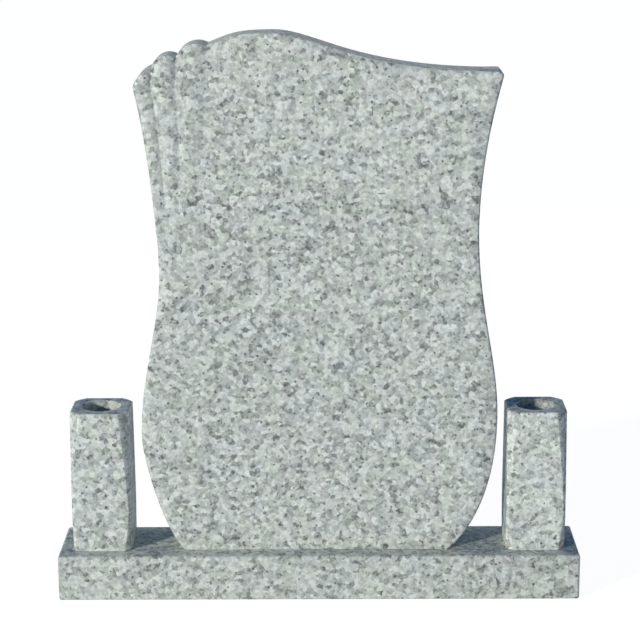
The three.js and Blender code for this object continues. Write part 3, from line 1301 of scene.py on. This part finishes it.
@dataclass
class Vase:
    """A square block vase with a round bore and tapering corner chamfers.

    A corner is a bowed curve of corner_points columns, with one more column on the flat at either
    side, edge_room away from it.
    """

    polished: bpy.types.Material
    drilled: bpy.types.Material
    bore: float = 67 * MM
    bore_depth: float = 180 * MM
    chamfer_top: float = 18 * MM
    chamfer_waist: float = 4 * MM
    chamfer_foot: float = 12 * MM
    chamfer_waist_height: float = 60 * MM
    chamfer_ease: float = 1.4
    chamfer_bow: float = 0.25
    rim_arris: float = 3.5 * MM
    edge_arris: float = 1.2 * MM
    edge_steps: int = 3
    edge_angle: float = math.radians(30)
    edge_room: float = 1.5 * MM
    corner_points: int = 8
    shaft_levels: int = 24
    rim_levels: int = 8
    bore_sides: int = 96
    cut_room: float = 20 * MM

    # The sizes that the tree takes as inputs, besides the block's side and height.
    SIZES = (
        "bore",
        "bore_depth",
        "chamfer_top",
        "chamfer_waist",
        "chamfer_foot",
        "chamfer_waist_height",
        "chamfer_ease",
        "chamfer_bow",
        "rim_arris",
        "edge_room",
    )

    # Half a column or row tells one from the next. A column's number is whole but for rounding, so
    # less than half is added before it is rounded down.
    HALF_STEP = 0.5
    NUDGE = 0.25

    # The drilled surface is looked for a little past the bore's radius.
    BORE_REACH = 1.002

    # Corners of the rolled grid that are nearer than this are one corner.
    SEAM = 0.01 * MM

    def tree(self) -> bpy.types.NodeTree:
        """Builds the vase as a tree of Geometry Nodes.

        A grid is rolled up: its columns become the four bowed corners, and its rows the levels
        from the middle of the foot, up the shaft, over the rim and back to the middle. The
        modifier hands its own mesh to the first input, which nothing reads.

        Returns:
            The tree, with its sizes as named inputs.
        """
        g = Graph.group("Block vase", "GeometryNodeTree")
        names = ["Side", "Height"] + [name.title() for name in self.SIZES]
        s = g.entrance(Geometry="Geometry", **dict.fromkeys(names, "Float"))
        per_corner = self.corner_points + 2
        columns = 4 * per_corner
        last = self.shaft_levels + self.rim_levels + 2
        grid = g.node(
            "GeometryNodeMeshGrid",
            {"Size X": columns, "Size Y": last, "Vertices X": columns + 1, "Vertices Y": last + 1},
        )
        across, along, _ = g.axes(g.node("GeometryNodeInputPosition").outputs[0])
        column = g.math("ROUND", g.math("ADD", across, columns / 2))
        row = g.math("ROUND", g.math("ADD", along, last / 2))
        shaft_top = g.math("SUBTRACT", s["Height"], s["Rim_Arris"])
        shaft = g.math("DIVIDE", g.math("SUBTRACT", row, 1.0), self.shaft_levels, clamp=True)
        over = g.math("SUBTRACT", row, self.shaft_levels + 1.0)
        turn = g.math("MULTIPLY", g.math("DIVIDE", over, self.rim_levels, clamp=True), math.pi / 2)
        rise = g.math("MULTIPLY", s["Rim_Arris"], g.math("SINE", turn))
        z = g.math("MULTIPLY_ADD", shaft, shaft_top, rise)
        falls_in = g.math("SUBTRACT", 1.0, g.math("COSINE", turn))
        inset = g.math("MULTIPLY", s["Rim_Arris"], falls_in)
        half = g.math("SUBTRACT", g.math("MULTIPLY", s["Side"], 0.5), inset)
        level = g.math("MULTIPLY", shaft, shaft_top)
        below = g.math("DIVIDE", level, s["Chamfer_Waist_Height"], clamp=True)
        upper = g.math("SUBTRACT", shaft_top, s["Chamfer_Waist_Height"])
        climbed = g.math("SUBTRACT", level, s["Chamfer_Waist_Height"])
        eased = g.math("POWER", g.math("DIVIDE", climbed, upper, clamp=True), s["Chamfer_Ease"])
        foot_part = g.blend(below, s["Chamfer_Foot"], s["Chamfer_Waist"])
        widening = g.math("MULTIPLY", g.math("SUBTRACT", s["Chamfer_Top"], s["Chamfer_Waist"]), eased)
        chamfer = g.math("ADD", foot_part, widening)
        near = g.math("SUBTRACT", half, chamfer)
        quarter = g.math("FLOOR", g.math("DIVIDE", g.math("ADD", column, self.NUDGE), per_corner))
        number = g.math("SUBTRACT", column, g.math("MULTIPLY", quarter, per_corner))
        on_curve = g.math("SUBTRACT", number, 1.0)
        way = g.math("DIVIDE", on_curve, self.corner_points - 1.0, clamp=True)
        is_before = g.math("LESS_THAN", number, self.HALF_STEP)
        is_after = g.math("GREATER_THAN", number, self.corner_points + self.HALF_STEP)

        def bowed(share: bpy.types.NodeSocket) -> bpy.types.NodeSocket:
            """Returns how far the corner has turned at a share of its way."""
            arc = g.math("SINE", g.math("MULTIPLY", share, math.pi / 2))
            return g.blend(s["Chamfer_Bow"], share, arc)

        ahead = g.math("MULTIPLY_ADD", chamfer, bowed(way), near)
        ahead = g.math("SUBTRACT", ahead, g.math("MULTIPLY", is_before, s["Edge_Room"]))
        aside = g.math("MULTIPLY_ADD", chamfer, bowed(g.math("SUBTRACT", 1.0, way)), near)
        aside = g.math("SUBTRACT", g.math("MULTIPLY", is_after, s["Edge_Room"]), aside)
        corner = g.node("ShaderNodeCombineXYZ", {"X": ahead, "Y": aside, "Z": z}).outputs[0]
        turned = g.node(
            "ShaderNodeVectorRotate",
            {"Vector": corner, "Angle": g.math("MULTIPLY", quarter, math.pi / 2)},
            rotation_type="Z_AXIS",
        )
        is_cap = g.math("GREATER_THAN", g.math("ABSOLUTE", along), last / 2 - self.HALF_STEP)
        to_axis = g.node("ShaderNodeCombineXYZ", {"Z": z}).outputs[0]
        point = g.mix("VECTOR", is_cap, turned.outputs[0], to_axis)
        rolled = g.node("GeometryNodeSetPosition", {"Geometry": grid.outputs["Mesh"], "Position": point})
        merged = {"Geometry": rolled.outputs[0], "Distance": self.SEAM}
        closed = g.node("GeometryNodeMergeByDistance", merged)
        drill = g.node(
            "GeometryNodeMeshCylinder",
            {
                "Vertices": self.bore_sides,
                "Radius": g.math("MULTIPLY", s["Bore"], 0.5),
                "Depth": g.math("ADD", s["Bore_Depth"], self.cut_room),
            },
        )
        drill_top = g.math("ADD", s["Height"], self.cut_room / 2)
        middle = g.math("SUBTRACT", drill_top, g.math("MULTIPLY", s["Bore_Depth"], 0.5))
        lift = g.node("ShaderNodeCombineXYZ", {"Z": middle}).outputs[0]
        lifted = g.node("GeometryNodeTransform", {"Geometry": drill.outputs["Mesh"], "Translation": lift})
        cut = g.node("GeometryNodeMeshBoolean", operation="DIFFERENCE")
        g.feed(cut.inputs["Mesh 1"], closed.outputs[0])
        g.feed(cut.inputs["Mesh 2"], lifted.outputs[0])
        x, y, height = g.axes(g.node("GeometryNodeInputPosition").outputs[0])
        radius = g.math("SQRT", g.math("MULTIPLY_ADD", x, x, g.math("MULTIPLY", y, y)))
        in_bore = g.math("LESS_THAN", radius, g.math("MULTIPLY", s["Bore"], self.BORE_REACH / 2))
        deep = g.math("LESS_THAN", height, g.math("SUBTRACT", s["Height"], s["Rim_Arris"]))
        high_enough = g.math("GREATER_THAN", height, g.math("MULTIPLY", s["Rim_Arris"], 2.0))
        bored = g.math("MULTIPLY", g.math("MULTIPLY", in_bore, deep), high_enough)
        real = g.node("GeometryNodeRealizeInstances", {0: cut.outputs["Mesh"]})
        stone = g.node("GeometryNodeSetMaterial", {"Geometry": real.outputs[0], "Material": self.polished})
        both = g.node(
            "GeometryNodeSetMaterial",
            {"Geometry": stone.outputs[0], "Selection": bored, "Material": self.drilled},
        )
        g.exit(Geometry=both.outputs[0])
        return g.tree

    def build(self, end: End, tree: bpy.types.NodeTree) -> bpy.types.Object:
        """Builds one vase in the place of its node.

        Args:
            end: The end of the plinth that it stands at.
            tree: The vase's tree.

        Returns:
            The finished vase.
        """
        low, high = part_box(end.value)
        block = show(f"{end.value}_block", bpy.data.meshes.new("block"))
        modifier = block.modifiers.new("vase", "NODES")
        modifier.node_group = tree
        sizes = {name.title(): getattr(self, name) for name in self.SIZES}
        set_inputs(modifier, Side=high.x - low.x, Height=high.z - low.z, **sizes)
        bevel = block.modifiers.new("arrises", "BEVEL")
        bevel.width = self.edge_arris
        bevel.segments = self.edge_steps
        bevel.limit_method = "ANGLE"
        bevel.angle_limit = self.edge_angle
        mesh = applied(block, end.value)
        foot = Vector(((low.x + high.x) / 2, (low.y + high.y) / 2, low.z))
        mesh.transform(Matrix.Translation(foot))
        outward(mesh)
        polish_shading(mesh)
        return finished(show(f"{end.value}_bored", mesh), "vase_granite", end.value)


@dataclass
class Viewpoint:
    """The photograph's camera: where it stands, where it looks, and how long its lens is."""

    place: tuple[float, float, float] = (0.02338, -3.32782, 1.29966)
    pitch_down: float = 0.24159
    yaw: float = -0.0059
    roll: float = 0.00499
    focal_pixels: float = 2004.2
    picture_pixels: int = 640
    sensor: float = 36.0

    def build(self) -> bpy.types.Object:
        """Places the camera and makes it the scene's own.

        Returns:
            The camera.
        """
        sin_p, cos_p = math.sin(self.pitch_down), math.cos(self.pitch_down)
        sin_y, cos_y = math.sin(self.yaw), math.cos(self.yaw)
        ahead = Vector((sin_y * cos_p, cos_y * cos_p, -sin_p))
        level_right = Vector((cos_y, -sin_y, 0.0))
        level_down = ahead.cross(level_right)
        right = level_right * math.cos(self.roll) + level_down * math.sin(self.roll)
        down = level_down * math.cos(self.roll) - level_right * math.sin(self.roll)
        camera = bpy.data.objects.new("camera", bpy.data.cameras.new("camera"))
        turn = Matrix((right, -down, -ahead)).transposed().to_4x4()
        camera.matrix_world = Matrix.Translation(self.place) @ turn
        camera.data.sensor_width = self.sensor
        camera.data.lens = self.focal_pixels / self.picture_pixels * self.sensor
        bpy.context.scene.collection.objects.link(camera)
        bpy.context.scene.camera = camera
        return camera


@dataclass
class Studio:
    """The pale floor and the soft light around the stone.

    A fade gives the height, as a share of straight up, where a glow starts to turn into the sky
    and where it has turned.
    """

    floor_size: float = 60.0
    floor_colour: tuple[float, float, float] = (0.8, 0.8, 0.8)
    floor_glow: float = 1.17
    glow_share: float = 0.82
    key_power: float = 2.75
    key_colour: tuple[float, float, float] = (1.0, 0.985, 0.96)
    key_turn: float = math.radians(45)
    key_height: float = math.radians(14.5)
    key_softness: float = math.radians(3)
    back_power: float = 30.0
    back_size: tuple[float, float] = (3.0, 0.3)
    back_place: tuple[float, float, float] = (-0.9, 3.0, 0.17)
    front_glow: tuple[float, float, float] = (2.5, 2.35, 2.2)
    front_fade: tuple[float, float] = (0.0, 0.18)
    back_glow: tuple[float, float, float] = (0.65, 0.67, 0.60)
    back_fade: tuple[float, float] = (0.11, 0.25)
    sky: tuple[float, float, float] = (0.009, 0.062, 0.165)

    def floor(self) -> bpy.types.Object:
        """Lays the floor, which glows a little for the camera alone.

        Returns:
            The floor.
        """
        form = bmesh.new()
        bmesh.ops.create_grid(form, x_segments=1, y_segments=1, size=self.floor_size / 2)
        mesh = bpy.data.meshes.new("floor")
        form.to_mesh(mesh)
        form.free()
        paint = bpy.data.materials.new("pale_floor")
        paint.use_nodes = True
        paint.node_tree.nodes.clear()
        g = Graph(paint.node_tree)
        matt = g.node("ShaderNodeBsdfDiffuse", {"Color": (*self.floor_colour, 1.0)})
        bright = g.node("ShaderNodeEmission", {"Color": WHITE, "Strength": self.floor_glow})
        seen = g.node("ShaderNodeLightPath").outputs["Is Camera Ray"]
        share = g.math("MULTIPLY", seen, self.glow_share)
        mixed = g.node("ShaderNodeMixShader", {0: share, 1: matt.outputs[0], 2: bright.outputs[0]})
        g.node("ShaderNodeOutputMaterial", {"Surface": mixed.outputs[0]})
        mesh.materials.append(paint)
        floor = show("floor", mesh)
        floor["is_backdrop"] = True
        return floor

    def light(self) -> None:
        """Hangs the low key light and the low box behind, and glows the room around them."""
        key = bpy.data.lights.new("key", "SUN")
        key.energy = self.key_power
        key.color = self.key_colour
        key.angle = self.key_softness
        lamp = bpy.data.objects.new("key", key)
        lamp.visible_glossy = False
        level = math.cos(self.key_height)
        left, front = math.sin(self.key_turn) * level, math.cos(self.key_turn) * level
        toward = Vector((-left, -front, math.sin(self.key_height)))
        lamp.rotation_euler = toward.to_track_quat("Z", "Y").to_euler()
        bpy.context.scene.collection.objects.link(lamp)
        box = bpy.data.lights.new("back_box", "AREA")
        box.shape = "RECTANGLE"
        box.size, box.size_y = self.back_size
        box.energy = self.back_power
        panel = bpy.data.objects.new("back_box", box)
        place = Vector(self.back_place)
        low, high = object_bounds()
        panel.location = place
        panel.rotation_euler = (place - (low + high) / 2).to_track_quat("Z", "Y").to_euler()
        panel.visible_camera = False
        panel.visible_glossy = False
        bpy.context.scene.collection.objects.link(panel)
        self.surroundings()

    def surroundings(self) -> None:
        """Lights the room around: bright low in front, dim low behind, a dark blue sky above."""
        world = bpy.data.worlds.new("studio")
        bpy.context.scene.world = world
        world.use_nodes = True
        world.node_tree.nodes.clear()
        g = Graph(world.node_tree)
        _, to_back, up = g.axes(g.node("ShaderNodeTexCoord").outputs["Generated"])
        behind = g.math("MULTIPLY_ADD", to_back, 0.5, 0.5)

        def band(glow: tuple[float, float, float], fade: tuple[float, float]) -> bpy.types.NodeSocket:
            """Returns the colour from the horizon's glow up to the sky."""
            raised = g.node("ShaderNodeMapRange", {0: up, 1: fade[0], 2: fade[1]}).outputs[0]
            return g.mix("RGBA", raised, (*glow, 1.0), (*self.sky, 1.0))

        front = band(self.front_glow, self.front_fade)
        back = band(self.back_glow, self.back_fade)
        fill = g.node("ShaderNodeBackground", {"Color": g.mix("RGBA", behind, front, back)})
        wall = g.node("ShaderNodeBackground", {"Color": WHITE})
        seen = g.node("ShaderNodeLightPath").outputs["Is Camera Ray"]
        mixed = g.node("ShaderNodeMixShader", {0: seen, 1: fill.outputs[0], 2: wall.outputs[0]})
        g.node("ShaderNodeOutputWorld", {"Surface": mixed.outputs[0]})
        bpy.context.scene.view_settings.view_transform = "Standard"


def main() -> None:
    """Builds the camera, the studio and the four stones, in that order."""
    logging.basicConfig(level=logging.INFO, format="%(name)s: %(message)s", force=True)
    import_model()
    Viewpoint().build()
    studio = Studio()
    studio.floor()
    studio.light()

    finishes = [
        Granite("headstone_polished", Surface.POLISHED, Block.HEADSTONE, lightness=1.0),
        Granite("plinth_polished", Surface.POLISHED, Block.PLINTH, lightness=0.94),
        Granite("plinth_sawn", Surface.SAWN, Block.PLINTH, lightness=0.94),
        Granite("vase_polished", Surface.POLISHED, Block.VASES, lightness=1.04),
        Granite("vase_drilled", Surface.DRILLED, Block.VASES, lightness=0.88),
    ]
    grains = Minerals().group()
    marks = ToolMarks().group()
    stone = {finish.name: finish.material(grains, marks) for finish in finishes}

    Plinth(stone["plinth_polished"], stone["plinth_sawn"]).build()
    Headstone(stone["headstone_polished"]).build()
    vase = Vase(stone["vase_polished"], stone["vase_drilled"])
    vase_tree = vase.tree()
    for end in End:
        vase.build(end, vase_tree)


if __name__ == "__main__":
    main()
